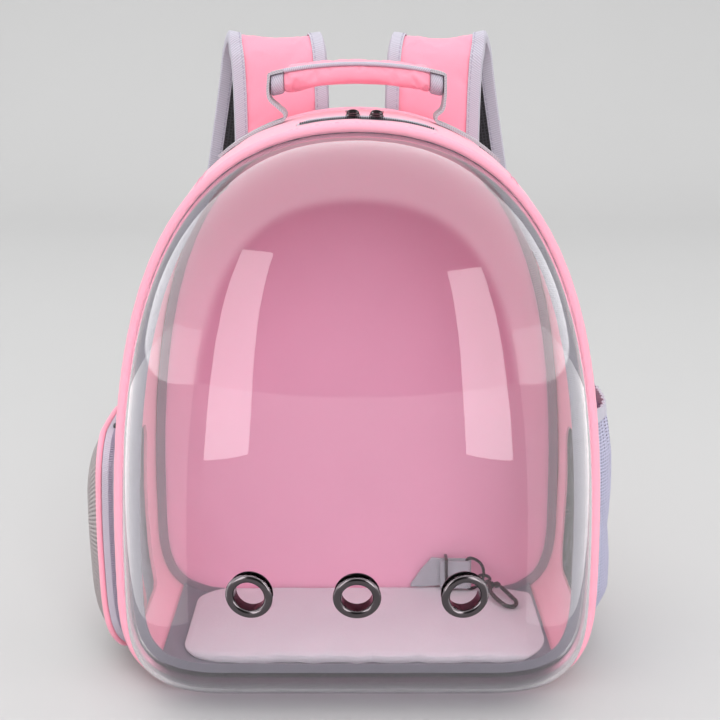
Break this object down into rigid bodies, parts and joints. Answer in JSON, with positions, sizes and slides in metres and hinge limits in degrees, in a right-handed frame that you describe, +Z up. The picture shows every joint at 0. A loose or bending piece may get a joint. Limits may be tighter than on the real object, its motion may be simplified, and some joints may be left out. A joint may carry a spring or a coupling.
{
  "type": "pet carrier backpack",
  "caption": "Soft pet carrier backpack with a clear domed front with air holes, mesh side door and pocket, padded shoulder straps and a carry handle.",
  "frame": {"origin": "centre of the flat base, on the surface that the bag stands on", "axes": "+Z up, the domed window faces -Y, the shoulder straps are on the +Y side, +X is the viewer's right"},
  "size_m": [0.403, 0.3232, 0.476],
  "materials": {
    "pink_oxford": "woven pink oxford cloth with a padded feel",
    "strap_pink": "smooth woven pink cloth over foam",
    "pink_piping": "pink woven cloth over a round cord",
    "grey_tape": "grey woven binding tape",
    "lilac_tape": "pale lilac-grey ribbed tape",
    "clear_dome": "clear moulded plastic, glossy",
    "gunmetal": "dark polished gunmetal plating",
    "mat_fleece": "pale lilac short-pile mat",
    "grey_mesh": "grey-brown open mesh over padding",
    "lilac_mesh": "pale lilac open mesh",
    "black_mesh": "black spacer mesh",
    "black_coil": "black nylon zip coil",
    "black_plastic": "black moulded plastic",
    "grey_webbing": "grey ribbed webbing"
  },
  "bodies": {
    "shell": {"gusset": "pink_oxford", "back_panel": "pink_oxford", "rim_piping": "pink_piping", "back_piping": "pink_piping", "rim_tape": "grey_tape", "back_tape": "grey_tape", "dome": "clear_dome", "eyelet_left": "gunmetal", "eyelet_middle": "gunmetal", "eyelet_right": "gunmetal", "base_board": "grey_tape", "floor_mat": "mat_fleece", "door_wall": "lilac_tape", "door_piping": "pink_piping", "door_mesh": "grey_mesh", "door_slider_front": "black_plastic", "door_slider_rear": "black_plastic", "pocket_mesh": "lilac_mesh", "pocket_tape": "lilac_tape", "pocket_hem": "lilac_tape", "window_mesh": "black_mesh", "top_zip": "grey_tape", "top_coil": "black_coil", "top_slider_left": "gunmetal", "top_slider_right": "gunmetal", "top_pull_left": "gunmetal", "top_pull_right": "gunmetal", "handle_grip": "strap_pink", "handle_piping": "lilac_tape", "handle_cuff_left": "lilac_tape", "handle_cuff_right": "lilac_tape", "handle_webbing_left": "grey_webbing", "handle_webbing_right": "grey_webbing", "leash_webbing": "grey_webbing", "leash_adjuster": "gunmetal", "leash_ring": "gunmetal", "snap_hook": "gunmetal", "strap_pad_left": "strap_pink", "strap_skin_left": "black_mesh", "strap_binding_inner_left": "lilac_tape", "strap_binding_outer_left": "lilac_tape", "strap_loop_left": "grey_webbing", "strap_buckle_left": "black_plastic", "strap_webbing_left": "grey_webbing", "strap_tab_left": "pink_oxford", "strap_pad_right": "strap_pink", "strap_skin_right": "black_mesh", "strap_binding_inner_right": "lilac_tape", "strap_binding_outer_right": "lilac_tape", "strap_loop_right": "grey_webbing", "strap_buckle_right": "black_plastic", "strap_webbing_right": "grey_webbing", "strap_tab_right": "pink_oxford"},
    "snap_gate": {"snap_gate": "gunmetal"}
  },
  "joints": [
    {"name": "snap_gate_hinge", "type": "hinge", "parent": "shell", "child": "snap_gate", "pos_m": [0.12247, 0.0496, 0.02247], "axis": [-0.1142, 0.186, -0.9759], "range_deg": [0, 22], "stiffness_Nm_per_rad": 0.02, "springref_deg": -17.19}
  ]
}
